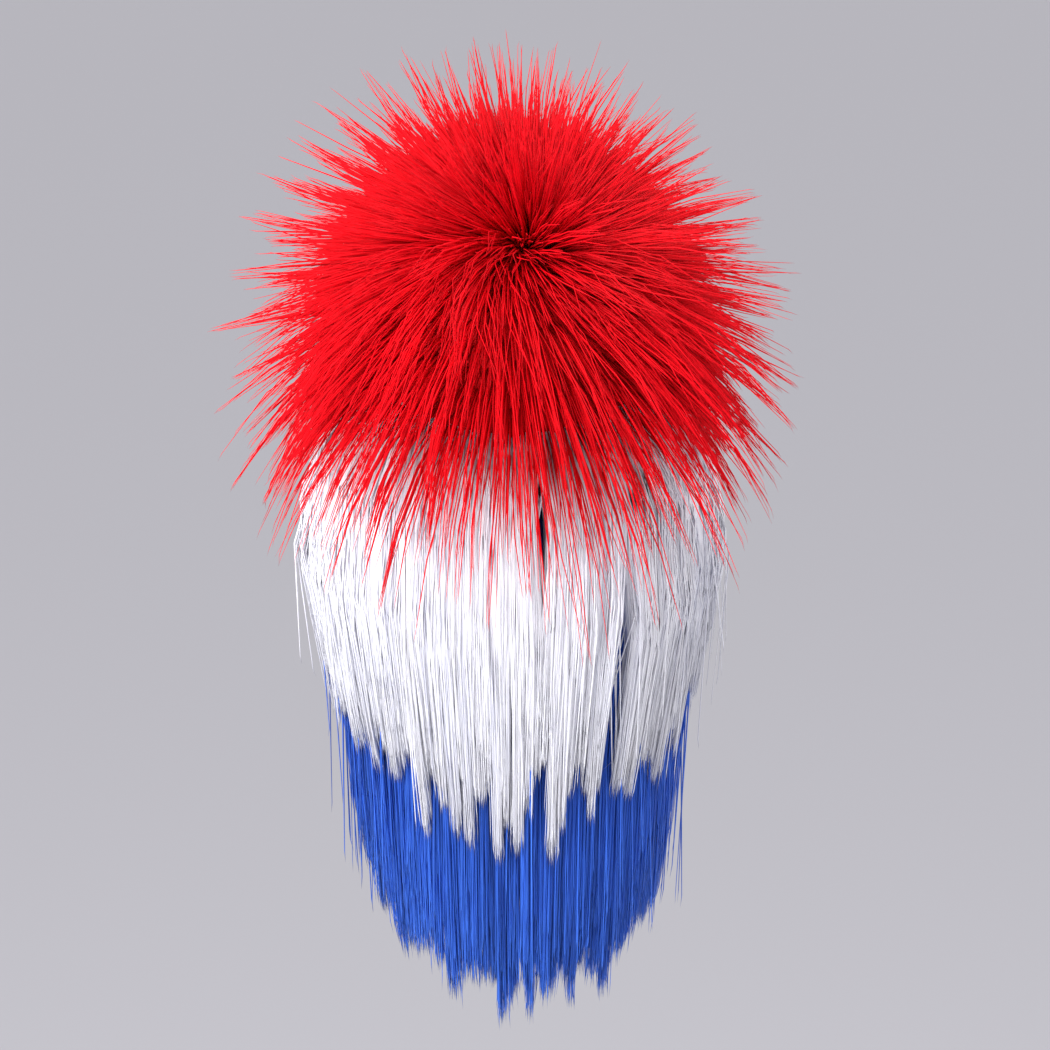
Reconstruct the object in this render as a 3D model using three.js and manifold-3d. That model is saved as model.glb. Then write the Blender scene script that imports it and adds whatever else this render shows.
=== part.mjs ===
// A spiky mullet wig: a net cap with an elastic edge carries short red spikes all over the
// crown, a white tier that hangs behind from ear to ear, and a longer blue tier under it.
//
// Millimetres, +Z up. The origin is inside the cap, where the top of the head touches it.
// The face looks along -Y, and +X is the wearer's left. The azimuth phi runs round the
// head from the left ear (0) over the back (90) and the right ear (180) to the brow (270).
import * as THREE from "three";
import { mergeVertices } from "three/addons/utils/BufferGeometryUtils.js";
import Module from "manifold-3d";

const wasm = await Module();
wasm.setup();

// The head that the cap fits
const HEAD_WIDTH = 154;
const HEAD_LENGTH = 192;
const CROWN_HEIGHT = 112; // from the widest level of the head up to its top

// The cap and its elastic edge
const CAP_WALL = 1.5;
const BAND_WALL = 2.4;
const BAND_HEIGHT = 16;
const BROW_RISE = 54; // the edge above the widest level at the brow
const NAPE_DROP = 56; // and below it at the nape
const TAB_DROP = 12; // the tabs in front of the ears reach this much lower
const TAB_ANGLE = -14; // azimuth of the left tab, degrees
const TAB_SPREAD = 15; // its half width, degrees

const CLEARANCE = 0.3; // between the hair and the cap
const HAIR_GAP = 0.5; // between neighbouring pieces of hair
const TIER_GAP = 3; // between the white tier and the blue one under it, where they hang free
const ROOT_SINK = 6; // hair solids start this far inside the cap, and are cut back to it

// The whorl, from which the red hair is combed away on all sides
const WHORL_TILT = 35; // back from the vertical, degrees
const WHORL_SIDE = -5; // to the wearer's left, degrees
const WHORL_SPREAD = 26; // the hair stands upright inside this angle, degrees

// Red spikes
const RED_LENGTH = 98;
const RED_LEAN = 0.84; // how far a hair leans away from the whorl, for each unit outwards
const RED_LOW_LEAN = 0.36; // added to that on the lowest rows
const RED_DROOP = 0.1; // how far the tips hang down at the top of the head
const RED_LOW_DROOP = 0.95; // added to that on the lowest rows
const FRINGE_LENGTH = 70; // the hair over the forehead is cut shorter
const FRINGE_DROOP = 0.4; // and hangs down this much more
const RED_DENSE = 0.58; // the share of the length that is closed hair, before the spikes part
const RED_LOCKS = 212; // places for spikes over the whole sphere; the cap uses about half
const CROWDING = 1.15; // over 1 sets the spikes closer together near the whorl
const RED_LOCK_WIDTH = 38;
const RED_LOCK_DEPTH = 22;
const CROWN_SHARE = 0.42; // how far the crown piece reaches down the cap

// The two tiers behind
const TIER_START = 10; // azimuth where the tiers begin behind the left ear, degrees
const WHITE_ROWS = 30; // height of the rows that carry the white hair, at the nape
const BLUE_ROWS = 28; // and of those that carry the blue
const SIDE_ROWS = 0.4; // share of these heights that is left at the ears
const TIER_HALF_WIDTH = 120;
const TIER_DEPTH = 124; // from the middle of the head back to the fall's outside
const WHITE_DROP = 207; // tips below the widest level, behind
const WHITE_SIDE_RISE = 62; // and so much higher at the sides
const WHITE_THICKNESS = 13;
const BLUE_DROP = 315;
const BLUE_SIDE_RISE = 50;
const BLUE_THICKNESS = 12;
const RAMP = 26; // over this height below its rows a tier comes off the head
const TIP_SLOPE = 5; // a tip's length for each millimetre of its half width
const TIP_LENGTH = 44; // the ragged ends below the closed part of a tier
const TIER_LOCKS = 19;
const RIDGE = 4; // height of a lock's ridge above the grooves beside it

// The outside of the fall behind. Each row is a level: its drop as a share of BLUE_DROP,
// its width as a share of TIER_HALF_WIDTH, and its depth as a share of TIER_DEPTH.
const FALL = [
  { drop: -0.12, wide: 0.64, deep: 0.78 },
  { drop: 0.0, wide: 0.7, deep: 0.82 },
  { drop: 0.09, wide: 0.9, deep: 0.93 },
  { drop: 0.16, wide: 0.99, deep: 0.98 },
  { drop: 0.3, wide: 1.0, deep: 1.0 },
  { drop: 0.4, wide: 0.97, deep: 0.99 },
  { drop: 0.5, wide: 0.9, deep: 0.97 },
  { drop: 0.6, wide: 0.85, deep: 0.95 },
  { drop: 0.8, wide: 0.79, deep: 0.94 },
  { drop: 1.0, wide: 0.7, deep: 0.95 },
];

// Width and depth of a spike along its length, as shares of its full size
const SPIKE = [
  { along: 0.5, size: 1.0 },
  { along: 0.77, size: 0.62 },
  { along: 1.0, size: 0.0 },
];

const STEPS_ROUND = 32; // facets round the head
const STEPS_DOWN = 8; // facets from the crown to the edge
const BAND_STEPS = 3; // facets down the band
const TIER_STEPS = 5; // facets down a tier's free fall
const RAMP_STEPS = 2; // facets down its rows and its ramp

const RAD = Math.PI / 180;
const UP = new THREE.Vector3(0, 0, 1);
const CENTRE = new THREE.Vector3(0, 0, -CROWN_HEIGHT);
const { clamp, lerp, smoothstep } = THREE.MathUtils;

// An even but irregular number from -1 to 1 for each i
const vary = (i, step) => 2 * ((i * step) % 1) - 1;

// A column of a table at a place between its rows
function readTable(rows, key, place, column) {
  let k = 1;
  while (k < rows.length - 1 && rows[k][key] < place) k++;
  const from = rows[k - 1];
  const to = rows[k];
  const share = clamp((place - from[key]) / (to[key] - from[key]), 0, 1);
  return lerp(from[column], to[column], share);
}

// Semi-axes of the head form, grown outwards by an offset
const semiAxes = (offset) =>
  new THREE.Vector3(HEAD_WIDTH / 2 + offset, HEAD_LENGTH / 2 + offset, CROWN_HEIGHT + offset);

// The unit vector of an azimuth and an angle from the crown
const unitAt = (phi, theta) =>
  new THREE.Vector3(Math.sin(theta) * Math.cos(phi), Math.sin(theta) * Math.sin(phi), Math.cos(theta));

const onHead = (unit, offset) => unit.clone().multiply(semiAxes(offset)).add(CENTRE);

const normalAt = (unit) => unit.clone().divide(semiAxes(CAP_WALL)).normalize();

// How far the edge of the cap lies above the head's widest level
function edgeRise(phi) {
  const tilt = (BROW_RISE - NAPE_DROP) / 2 - ((BROW_RISE + NAPE_DROP) / 2) * Math.sin(phi);
  const fromTab = (Math.asin(Math.sin(phi)) / RAD - TAB_ANGLE) / TAB_SPREAD;
  return tilt - TAB_DROP * Math.exp(-fromTab * fromTab);
}

const edgeAngle = (phi) => Math.acos(clamp(edgeRise(phi) / CROWN_HEIGHT, -0.95, 0.95));

// Length over the cap's surface from the crown to the edge
function arcTo(phi) {
  const level = Math.hypot((HEAD_WIDTH / 2) * Math.cos(phi), (HEAD_LENGTH / 2) * Math.sin(phi));
  return (edgeAngle(phi) * (level + CROWN_HEIGHT)) / 2;
}

// The angle from the crown of a place so many millimetres above the edge
const angleAbove = (phi, height) => edgeAngle(phi) * (1 - height / arcTo(phi));

// 0 in front of the ears, and how much of the tiers' full row height there is behind them
function rowShare(phi) {
  const behind = Math.sin(phi);
  return behind < Math.sin(TIER_START * RAD) - 1e-9 ? 0 : lerp(SIDE_ROWS, 1, behind);
}

const blueTopAngle = (phi) => angleAbove(phi, BLUE_ROWS * rowShare(phi));
const whiteTopAngle = (phi) => angleAbove(phi, (BLUE_ROWS + WHITE_ROWS) * rowShare(phi));

const WHORL = unitAt(90 * RAD, WHORL_TILT * RAD).applyAxisAngle(new THREE.Vector3(0, 1, 0), WHORL_SIDE * RAD);

// The start, middle and tip of a red hair that is rooted at a unit vector of the head form
function redHair(unit, { length = 1, turn = 0, tilt = 0 } = {}) {
  const normal = normalAt(unit);
  const fromWhorl = unit.angleTo(WHORL);
  const away = unit.clone().multiplyScalar(Math.cos(fromWhorl)).sub(WHORL);
  away.multiply(semiAxes(0)).addScaledVector(normal, -away.dot(normal));
  away.normalize().applyAxisAngle(normal, turn);
  const low = smoothstep(-unit.z, -0.75, 0.12);
  const front = smoothstep(-unit.y, 0.3, 0.9);
  const lean = (RED_LEAN + RED_LOW_LEAN * low) * Math.min(1, fromWhorl / (WHORL_SPREAD * RAD)) + tilt;
  const start = normal.clone().addScaledVector(away, lean).normalize();
  const droop = RED_DROOP + RED_LOW_DROOP * low + FRINGE_DROOP * front;
  const end = start.clone().addScaledVector(UP, -droop).normalize();
  const half = (lerp(RED_LENGTH, FRINGE_LENGTH, front) * length) / 2;
  const root = onHead(unit, CAP_WALL);
  const middle = root.clone().addScaledVector(start, half);
  const tip = middle.clone().addScaledVector(end, half);
  return new THREE.QuadraticBezierCurve3(root, middle, tip);
}

// A manifold solid from rings of points that all have the same even count. Rings that
// don't wrap are closed at both ends by joining each point to the one across the ring.
function solidFrom(rings, wrap = false) {
  const count = rings[0].length;
  const corners = [];
  const quad = (a, b, c, d) => corners.push(a, b, c, a, c, d);
  rings.forEach((ring, r) => {
    const next = (r + 1) % rings.length;
    if (next === 0 && !wrap) return;
    ring.forEach((point, k) => {
      const l = (k + 1) % count;
      quad(ring[k], ring[l], rings[next][l], rings[next][k]);
    });
  });
  if (!wrap) {
    const last = rings[rings.length - 1];
    for (let k = 0; k < count / 2 - 1; k++) {
      const across = count - 1 - k;
      quad(rings[0][k], rings[0][across], rings[0][across - 1], rings[0][k + 1]);
      quad(last[k], last[k + 1], last[across - 1], last[across]);
    }
  }
  return solidOfCorners(new THREE.BufferGeometry().setFromPoints(corners));
}

// A manifold solid from loose triangles, facing outwards whichever way they are wound
function solidOfCorners(loose) {
  const merged = mergeVertices(loose, 1e-3);
  const at = merged.getAttribute("position");
  const faces = [];
  let volume = 0;
  for (let i = 0; i < merged.index.count; i += 3) {
    const face = [0, 1, 2].map((k) => merged.index.getX(i + k));
    if (new Set(face).size < 3) continue;
    const [a, b, c] = face.map((v) => new THREE.Vector3().fromBufferAttribute(at, v));
    volume += a.dot(b.cross(c));
    faces.push(face);
  }
  const triVerts = faces.flatMap(([a, b, c]) => (volume < 0 ? [a, c, b] : [a, b, c]));
  return new wasm.Manifold(
    new wasm.Mesh({ numProp: 3, vertProperties: at.array, triVerts: new Uint32Array(triVerts) }),
  );
}

const steps = (from, to, count) => Array.from({ length: count + 1 }, (_, k) => lerp(from, to, k / count));

// A shell over the head form between two angles from the crown, all the way round
function headShell(topAngle, bottomAngle, inner, outer, down = STEPS_DOWN) {
  const rings = steps(0, 2 * Math.PI, STEPS_ROUND).slice(0, -1).map((phi) => {
    const angles = steps(topAngle(phi), bottomAngle(phi), down);
    const outside = angles.map((theta) => onHead(unitAt(phi, theta), outer));
    const inside = angles.map((theta) => onHead(unitAt(phi, theta), inner));
    return [...outside, ...inside.reverse()];
  });
  return solidFrom(rings, true);
}

const bandTopAngle = (phi) => angleAbove(phi, BAND_HEIGHT);
const capBottomAngle = (phi) => angleAbove(phi, BAND_HEIGHT + CLEARANCE);
const atCrown = () => 0;

const makeCap = () => headShell(atCrown, capBottomAngle, 0, CAP_WALL);
const makeBand = () => headShell(bandTopAngle, edgeAngle, 0, BAND_WALL, BAND_STEPS);

// The space that the hair keeps clear of: the cap, the band and the head in them
function headSpace() {
  const beyond = (phi) => angleAbove(phi, -CLEARANCE);
  const deep = -HEAD_WIDTH / 4;
  const overCap = headShell(atCrown, capBottomAngle, deep, CAP_WALL + CLEARANCE);
  const overSeam = (phi) => angleAbove(phi, BAND_HEIGHT + 4 * CLEARANCE);
  const overBand = headShell(overSeam, beyond, deep, BAND_WALL + CLEARANCE, BAND_STEPS);
  return overCap.add(overBand);
}

// The closed hair of a red region: everything that its hairs sweep from root to RED_DENSE
function redBody(region, grow) {
  const { from, to, top, bottom } = region;
  const whole = to - from >= 2 * Math.PI - 1e-6;
  const widen = whole ? 0 : grow / (HEAD_WIDTH / 2);
  const count = Math.round(((to - from) / (2 * Math.PI)) * STEPS_ROUND);
  const azimuths = steps(from - widen, to + widen, count);
  if (whole) azimuths.pop();
  const down = Math.max(3, Math.round(STEPS_DOWN * (bottom(Math.PI / 2) - top(Math.PI / 2)) / edgeAngle(0)));
  const end = RED_DENSE + grow / RED_LENGTH;
  const rings = azimuths.map((phi) => {
    const high = top(phi) === 0 ? 0 : top(phi) - grow / CROWN_HEIGHT;
    const units = steps(high, bottom(phi) + grow / CROWN_HEIGHT, down).map((theta) => unitAt(phi, theta));
    const outside = units.map((unit) => redHair(unit).getPoint(end));
    const inside = units.map((unit) => onHead(unit, -ROOT_SINK));
    return [...outside, ...inside.reverse()];
  });
  return solidFrom(rings, whole);
}

// A lock with a flat diamond section along a curve. It lies flat against the side that
// facing points away from.
function lockAlong(curve, table, { width, depth, facing, grow }) {
  const rings = table.map(({ along, size }) => {
    const tangent = curve.getTangent(along);
    const beyond = along === table[0].along ? -grow : grow * along;
    const point = curve.getPoint(along).addScaledVector(tangent, beyond);
    const across = new THREE.Vector3().crossVectors(tangent, facing).normalize();
    const out = new THREE.Vector3().crossVectors(across, tangent).normalize();
    const side = (width * size) / 2 + grow;
    const high = (depth * size) / 2 + grow;
    return [
      point.clone().addScaledVector(across, side),
      point.clone().addScaledVector(out, high),
      point.clone().addScaledVector(across, -side),
      point.clone().addScaledVector(out, -high),
    ];
  });
  return solidFrom(rings);
}

// The spikes are rooted on a spiral that winds evenly outwards from the whorl
const GOLDEN_ANGLE = Math.PI * (3 - Math.sqrt(5));
const toWhorl = new THREE.Quaternion().setFromUnitVectors(UP, WHORL);

function spikeRoot(i) {
  const height = 1 - 2 * ((i + 0.5) / RED_LOCKS) ** CROWDING;
  return unitAt(i * GOLDEN_ANGLE, Math.acos(height)).applyQuaternion(toWhorl);
}

function redLocks(region, grow) {
  const locks = [];
  for (let i = 0; i < RED_LOCKS; i++) {
    const unit = spikeRoot(i);
    const theta = Math.acos(clamp(unit.z, -1, 1));
    const azimuth = Math.atan2(unit.y, unit.x);
    const phi = region.from + THREE.MathUtils.euclideanModulo(azimuth - region.from, 2 * Math.PI);
    if (phi >= region.to || theta < region.top(phi) || theta >= region.bottom(phi)) continue;
    const curve = redHair(unit, {
      length: 1 + 0.07 * vary(i, 0.754878),
      turn: 0.12 * vary(i, 0.618034),
      tilt: 0.1 * vary(i, 0.56984),
    });
    const facing = normalAt(unit);
    locks.push(lockAlong(curve, SPIKE, { width: RED_LOCK_WIDTH, depth: RED_LOCK_DEPTH, facing, grow }));
  }
  return locks;
}

// Half width and depth of the outside of the fall at a level
function fallSize(level) {
  const drop = (-CROWN_HEIGHT - level) / BLUE_DROP;
  return {
    wide: TIER_HALF_WIDTH * readTable(FALL, "drop", drop, "wide"),
    deep: TIER_DEPTH * readTable(FALL, "drop", drop, "deep"),
  };
}

const levelOf = (theta) => CENTRE.z + semiAxes(CAP_WALL).z * Math.cos(theta);

// The level of a tier's tips: lower behind than at the sides
const whiteTip = (phi) => -CROWN_HEIGHT - WHITE_DROP + WHITE_SIDE_RISE * (1 - Math.sin(phi));
const blueTip = (phi) => -CROWN_HEIGHT - BLUE_DROP + BLUE_SIDE_RISE * (1 - Math.sin(phi));

// Thickness of the white hair at a level. Below its tips it fades out.
function whiteThickness(level, phi) {
  const left = (level - whiteTip(phi)) / WHITE_DROP;
  return WHITE_THICKNESS * lerp(0.4, 1, smoothstep(left, 0, 0.6)) * smoothstep(left, -0.3, 0);
}

// Each tier has the level of its top, the level where its rows end, and that of its tips
const WHITE_TIER = {
  top: (phi) => levelOf(whiteTopAngle(phi)),
  rowsEnd: (phi) => levelOf(blueTopAngle(phi)),
  tip: whiteTip,
  ridged: () => 1,
  outside: (phi, level, grow) => inFall(phi, level, -grow),
  under: whiteThickness,
};
const BLUE_TIER = {
  top: (phi) => levelOf(blueTopAngle(phi)) - 0.3 * RAMP,
  rowsEnd: (phi) => levelOf(edgeAngle(phi)),
  tip: blueTip,
  ridged: (phi, level) => smoothstep(whiteTip(phi) + TIP_LENGTH - level, 0, TIP_LENGTH),
  outside: (phi, level, grow) => tierInside(WHITE_TIER, phi, level, TIER_GAP - grow),
  under: (level, phi) => whiteThickness(level, phi) + TIER_GAP + blueThickness(level, phi),
};

function blueThickness(level, phi) {
  return BLUE_THICKNESS * lerp(0.5, 1, smoothstep(level, blueTip(phi), -CROWN_HEIGHT));
}

// A place in the fall: at an azimuth and a level, so far under its outside
function inFall(phi, level, under) {
  const { wide, deep } = fallSize(level);
  return new THREE.Vector3((wide - under) * Math.cos(phi), (deep - under) * Math.sin(phi), level);
}

// The inside of a tier lies on the head over its rows, and comes off it on a ramp below them
function tierInside(tier, phi, level, grow) {
  const rooted = smoothstep(level, tier.rowsEnd(phi) - RAMP, tier.rowsEnd(phi));
  const height = clamp((level - CENTRE.z) / CROWN_HEIGHT, -0.95, 0.95);
  const root = onHead(unitAt(phi, Math.acos(height)), -ROOT_SINK - grow);
  root.z = level;
  return inFall(phi, level, tier.under(level, phi) + grow).lerp(root, rooted);
}

// A tier is a curved curtain with a ridge down the middle of each lock. Each lock runs out
// in a tip, and the locks part at notches above the tips.
function tierBody(tier, grow) {
  const from = TIER_START * RAD - grow / TIER_HALF_WIDTH;
  const rings = steps(from, Math.PI - from, 2 * TIER_LOCKS).map((phi, i) => {
    const onRidge = i % 2 === 1;
    const lower = grow * TIP_SLOPE;
    const notch = tier.tip(phi) + TIP_LENGTH * (1 + 0.3 * vary(i, 0.754878));
    const tip = tier.tip(phi) + TIP_LENGTH * 0.35 * vary(i, 0.618034) - lower;
    const end = onRidge ? tip : notch - RIDGE - lower;
    const free = tier.rowsEnd(phi) - RAMP;
    const levels = [
      ...steps(tier.top(phi) + grow, free, RAMP_STEPS),
      ...steps(free, notch, TIER_STEPS).slice(1, -1),
      notch - lower,
    ];
    const ridge = onRidge ? RIDGE / 2 : -RIDGE / 2;
    const outside = levels.map((level) => tier.outside(phi, level, grow + ridge * tier.ridged(phi, level)));
    const inside = levels.map((level) => tierInside(tier, phi, level, grow));
    const last = inFall(phi, end, tier.under(end, phi) / 2);
    return [...outside, last, last.clone(), ...inside.reverse()];
  });
  return solidFrom(rings);
}

// The regions of the red hair, by azimuth and angle from the crown
const crownBottom = (phi) => edgeAngle(phi) * CROWN_SHARE;
const redBottom = (phi) => (rowShare(phi) > 0 ? whiteTopAngle(phi) : angleAbove(phi, 1));
const lowerRegion = (from, to) => ({ from: from * RAD, to: to * RAD, top: crownBottom, bottom: redBottom });
const CROWN = { from: -Math.PI / 2, to: 1.5 * Math.PI, top: atCrown, bottom: crownBottom };

const red = (region) => (grow) => [redBody(region, grow), ...redLocks(region, grow)];
const tier = (shape) => (grow) => [tierBody(shape, grow)];

// Each piece of hair, in the order in which a piece gives way to those before it
const HAIR = [
  { name: "red_crown", colour: 0xe0101c, make: red(CROWN) },
  { name: "red_fringe", colour: 0xe0101c, make: red(lowerRegion(220, 320)) },
  { name: "red_back", colour: 0xd80c18, make: red(lowerRegion(40, 140)) },
  { name: "red_side_left", colour: 0xd80c18, make: red(lowerRegion(-40, 40)) },
  { name: "red_side_right", colour: 0xd80c18, make: red(lowerRegion(140, 220)) },
  { name: "white_tier", colour: 0xf4f4fa, make: tier(WHITE_TIER) },
  { name: "blue_tier", colour: 0x2c5fd6, make: tier(BLUE_TIER) },
];

const join = (solids) => solids.reduce((whole, solid) => whole.add(solid));

// The largest body of a solid, without the crumbs that a cut leaves
const mainBody = (solid) =>
  solid.decompose().reduce((best, body) => (body.volume() > best.volume() ? body : best));

// The same solid with vertices merged that a cut has left almost in one place
function cleaned(solid) {
  const { vertProperties, triVerts } = solid.getMesh();
  const geometry = new THREE.BufferGeometry();
  geometry.setAttribute("position", new THREE.BufferAttribute(vertProperties, 3));
  geometry.setIndex(new THREE.BufferAttribute(triVerts, 1));
  return solidOfCorners(geometry.toNonIndexed());
}

const wig = new THREE.Group();

function addPiece(name, solid, colour, roughness) {
  const { vertProperties, triVerts } = solid.getMesh();
  const geometry = new THREE.BufferGeometry();
  geometry.setAttribute("position", new THREE.BufferAttribute(vertProperties, 3));
  geometry.setIndex(new THREE.BufferAttribute(triVerts, 1));
  geometry.computeVertexNormals();
  const material = new THREE.MeshStandardMaterial({ color: colour, roughness, metalness: 0 });
  const mesh = new THREE.Mesh(geometry, material);
  mesh.name = name;
  wig.add(mesh);
}

addPiece("net_cap", makeCap(), 0x18181c, 0.9);
addPiece("edge_band", makeBand(), 0x202026, 0.8);

let taken = headSpace();
for (const { name, colour, make } of HAIR) {
  const solid = mainBody(cleaned(join(make(0)).subtract(taken)));
  addPiece(name, solid, colour, 0.45);
  taken = taken.add(join(make(HAIR_GAP)));
}

export default wig;
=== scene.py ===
"""The look of the spiky mullet wig: fine strands of hair in place of the plain hair solids.

Shapes are worked out in millimetres in the part's frame and made in metres. The face looks
along -Y and +X is the wearer's left. The azimuth phi runs round the head from the left ear
(0) over the back (90) and the right ear (180) to the brow (270). A unit is a point of the
unit sphere that stands for a place on the head form.
"""

import math

import bpy
import numpy as np
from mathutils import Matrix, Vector


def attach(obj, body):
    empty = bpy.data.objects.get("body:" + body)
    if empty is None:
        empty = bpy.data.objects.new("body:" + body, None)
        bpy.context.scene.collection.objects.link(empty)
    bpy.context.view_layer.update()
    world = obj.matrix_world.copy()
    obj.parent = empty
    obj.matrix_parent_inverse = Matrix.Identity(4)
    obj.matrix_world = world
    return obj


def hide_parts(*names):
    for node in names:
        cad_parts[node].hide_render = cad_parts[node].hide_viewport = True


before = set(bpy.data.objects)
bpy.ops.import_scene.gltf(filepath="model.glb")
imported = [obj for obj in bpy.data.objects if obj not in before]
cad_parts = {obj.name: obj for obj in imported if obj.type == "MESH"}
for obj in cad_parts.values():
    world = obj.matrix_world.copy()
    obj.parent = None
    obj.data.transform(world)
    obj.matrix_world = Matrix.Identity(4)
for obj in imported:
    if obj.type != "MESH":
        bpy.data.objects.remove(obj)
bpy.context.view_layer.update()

MM = 0.001
RAD = math.pi / 180
FULL_TURN = 2 * math.pi
GOLDEN_ANGLE = math.pi * (3 - math.sqrt(5))
TINY = 1e-6

# The head that the cap fits, and the edge of the cap
HEAD_WIDTH = 154
HEAD_LENGTH = 192
CROWN_HEIGHT = 112  # from the widest level of the head up to its top
BROW_RISE = 54  # the edge above the widest level at the brow
NAPE_DROP = 56  # and below it at the nape
TAB_DROP = 12  # the tabs in front of the ears reach this much lower
TAB_ANGLE = -14  # azimuth of the left tab, degrees
TAB_SPREAD = 15  # its half width, degrees
CAP_WALL = 1.5
ROOT_LIFT = 3.0  # hair roots lie this far outside the head, clear of the cap and its edge
STEEPEST = 0.95  # the head form is followed up to this cosine of the angle from the crown

# The whorl, from which the red hair is combed away on all sides
WHORL_TILT = 35  # back from the vertical, degrees
WHORL_SIDE = -10  # to the wearer's left, degrees
WHORL_SPREAD = 12  # inside this angle the hair stands up more and more, degrees
SWIRL = 0.6  # how far the hair turns round the whorl close to it, radians
SWIRL_REACH = 0.5  # the angle over which that fades, radians
WHORL_REACH = 0.42  # the angle over which the hair is shorter round the whorl, radians

# The length, lean and droop of the red hair
RED_LENGTH = 107
LOW_SHARE = 0.89  # the share of that length on the lowest rows
WHORL_SHARE = 0.7  # and at the whorl
WISP_SHARE = 1.36  # and of the wisps over the white hair
RED_LEAN = 1.15  # how far a hair leans away from the whorl, for each unit outwards
RED_LOW_LEAN = 0.1  # added on the lowest rows
WISP_LEAN = -0.4  # added where the hair hangs over the white in wisps
RED_DROOP = 0.08  # how far the tips hang down at the top of the head
RED_LOW_DROOP = 0.95  # added on the lowest rows
WISP_DROOP = 1.5  # and in the wisps
FRINGE_LENGTH = 78
FRINGE_DROOP = 0.4  # and over the forehead
RED_EDGE = 1  # the red hair ends this far above the cap's edge, in front of the tiers
CROWN_SHARE = 0.42  # how far the crown piece reaches down the cap

# Where the red hair changes. Each pair is where the change starts and where it is full, as
# shares of the head form's half size.
LOW_DOWNWARDS = (-0.75, 0.12)
FRONT_FORWARDS = (0.34, 0.9)
WISPS_DOWNWARDS = (-0.9, -0.58)
WISPS_BACKWARDS = (0.3, 0.75)

# Steps of the series that make one spike differ from the next
LENGTH_STEP = 0.754878
TURN_STEP = 0.618034
TILT_STEP = 0.56984
TONE_STEP = 0.2887

# The spikes that red strands gather into
RED_SPIKES = 2300  # places for spikes over the whole sphere
ROOT_CROWDING = 1.2  # over 1 sets the roots closer together near the whorl
LONGEST_SPIKE = 1.13  # as a share of the hair's length there
SPIKE_SHORTER = 0.55  # the shortest is shorter by this share
SPIKE_LENGTH_POWER = 0.9
SPIKE_TURN = 0.14  # how far a spike turns off the way the hair is combed, radians
WHORL_TURN = 0.5  # and at the whorl
SPIKE_TILT = 0.16

# Red strands. Most are short and make up the dense body, the others gather into spikes, and
# a few of those hang loose.
RED_STRANDS = 52000  # over the whole sphere; the cap uses about half
ROOT_SCATTER = 0.006
WISP_ROOTS = 0.19  # the share of the roots that is left under the wisps
BODY_SHARE = 0.74
WISP_BODY_SHARE = 0.1
LOOSE_SHARE = 0.16  # of the strands outside the body
BODY_LENGTH = (0.3, 0.57)  # the shortest and the longest, as shares of the hair's length
SHORT_OF_SPIKE = 0.3  # a strand may end this share short of its spike's tip
SHORT_OF_SPIKE_POWER = 1.6
TURN_SCATTER = 0.06
WHORL_TURN_SCATTER = 7  # times that at the whorl
LOOSE_TURN = 0.25
TILT_SCATTER = 0.05
LOOSE_TILT = 0.2
BODY_GATHER = 0.25  # how far a strand is drawn to its spike at the tip
SPIKE_GATHER = (0.84, 0.14)  # the least, and how much is added at most
LOOSE_GATHER = 0.3
GATHER_POWER = 1.5
RED_TIP_SCATTER = 0.7
BODY_RADIUS = 0.48
SPIKE_RADIUS = 0.36
RED_TONE = 0.55
SPIKE_TONE = 0.1  # how much the spikes differ in tone
WHORL_PAINTED_SHADE = 0.3  # painted shade: the hair is darker by this at the whorl, where it lies in a hollow
RED_TONE_SCATTER = 0.14

# The closed core under the red strands, as shares of the hair's length
RED_CORE = 0.28
WISP_CORE = 0.07
WHORL_CORE = 0.03
CORE_DEGREES = 5  # azimuth between two of its corners
CORE_SIDES = 6  # it has at least this many steps round
CROWN_HOLE = 0.02  # the share of the crown piece that its core leaves open at the pole

# The two tiers behind
TIER_FROM = 10 * RAD
TIER_TO = math.pi - TIER_FROM
TIER_SPAN = TIER_TO - TIER_FROM
WHITE_ROWS = 30  # height of the rows that carry the white hair, at the nape
BLUE_ROWS = 28  # and of those that carry the blue
SIDE_ROWS = 0.4  # share of these heights that is left at the ears
ROW_START_SLACK = 1e-9
TIER_HALF_WIDTH = 120
TIER_DEPTH = 124  # from the middle of the head back to the fall's outside
WHITE_DROP = 207  # tips below the widest level, behind
WHITE_SIDE_RISE = 62  # and so much higher at the sides
WHITE_THICKNESS = 13
WHITE_TIP_THICKNESS = 0.4  # the share of it at the tips
WHITE_THINNING = (0.0, 0.6)  # shares of the drop above the tips, over which it thins
WHITE_FADING = (-0.3, 0.0)  # and below them, over which it fades out
BLUE_DROP = 315
BLUE_SIDE_RISE = 50
BLUE_SKEW = 0.35  # more of that rise on the wearer's left, and less on the right
BLUE_THICKNESS = 12
BLUE_TIP_THICKNESS = 0.5
BLUE_GAP = 3.0  # between the white tier and the blue one under it
BLUE_TOP_DROP = 0.3  # the blue rows start this share of the ramp below the white ones' end
RAMP = 26  # over this height below its rows a tier comes off the head
TIP_LENGTH = 44

# The outside of the fall behind: its drop as a share of BLUE_DROP, its width as a share of
# TIER_HALF_WIDTH, and its depth as a share of TIER_DEPTH
FALL = {
    "drop": [-0.12, 0.0, 0.09, 0.16, 0.3, 0.4, 0.5, 0.6, 0.8, 1.0],
    "wide": [0.66, 0.76, 0.92, 0.99, 1.0, 0.97, 0.9, 0.85, 0.79, 0.7],
    "deep": [0.81, 0.88, 0.95, 0.98, 1.0, 0.99, 0.97, 0.95, 0.94, 0.95],
}

# Partings in the white hair: azimuth, half width in mm, and the levels between which it opens
PARTINGS = [
    {"at": 98.0, "half": 4.0, "top": -120.0, "bottom": -215.0},
    {"at": 120.5, "half": 7.0, "top": -180.0, "bottom": -350.0},
]
PARTING_REACH = 3  # hair is moved aside up to about this many half widths away

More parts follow.
